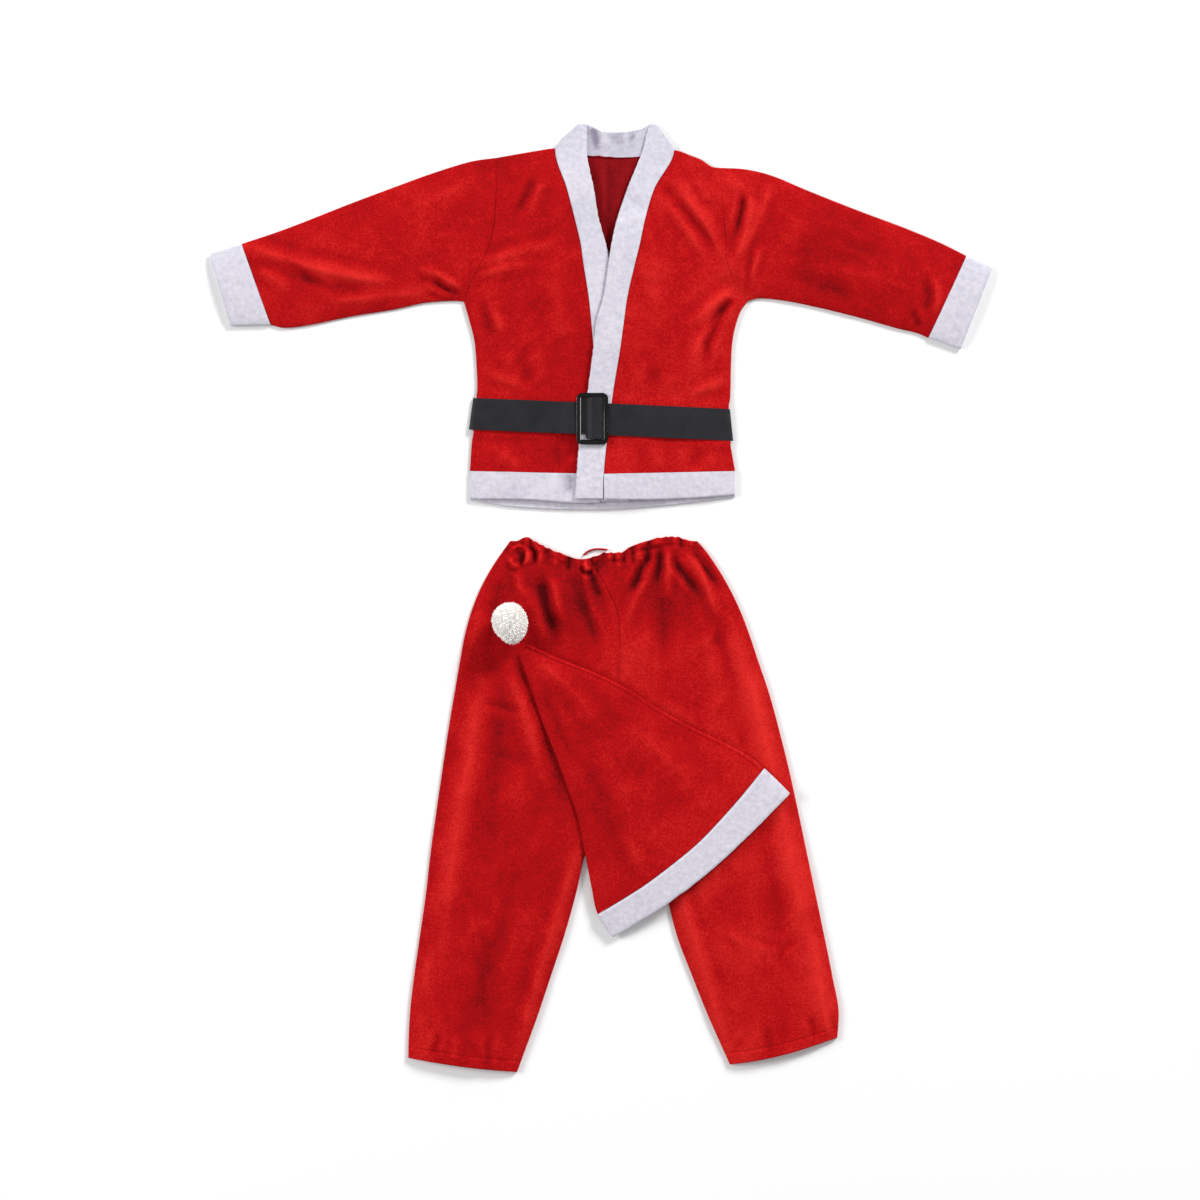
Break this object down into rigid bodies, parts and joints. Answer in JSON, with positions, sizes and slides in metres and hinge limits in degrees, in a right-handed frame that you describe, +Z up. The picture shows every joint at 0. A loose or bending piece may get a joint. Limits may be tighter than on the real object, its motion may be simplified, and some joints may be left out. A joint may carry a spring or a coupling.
{
  "type": "santa suit laid flat",
  "caption": "Child's Santa suit laid flat: red velour wrap jacket with white plush bands and a black belt, gathered trousers, and a pointed hat with a pompom across them.",
  "frame": {"origin": "centre of the whole suit's outline, on the surface it lies on", "axes": "+Y from the trousers' hems towards the collar, +X to the right as seen from above, +Z up off the surface"},
  "size_m": [0.9384, 1.137, 0.0464],
  "materials": {
    "velour": "red velour with a short soft nap",
    "plush": "white brushed plush",
    "webbing": "black woven webbing",
    "black_plastic": "glossy black moulded plastic"
  },
  "bodies": {
    "root": {"jacket_back": "velour", "jacket_front_left": "velour", "jacket_front_right": "velour", "sleeve_left": "velour", "sleeve_right": "velour", "cuff_left": "plush", "cuff_right": "plush", "front_band_left": "plush", "front_band_right": "plush", "neck_band": "plush", "hem_band_back": "plush", "hem_band_left": "plush", "hem_band_right": "plush", "belt_strap": "webbing", "buckle_frame": "black_plastic", "belt_tail": "webbing", "trousers_back_left": "velour", "trousers_back_right": "velour", "trousers_front_left": "velour", "trousers_front_right": "velour", "waist_loop": "velour", "hat_cone": "velour", "hat_band": "plush", "hat_pompom": "plush"}
  },
  "joints": []
}
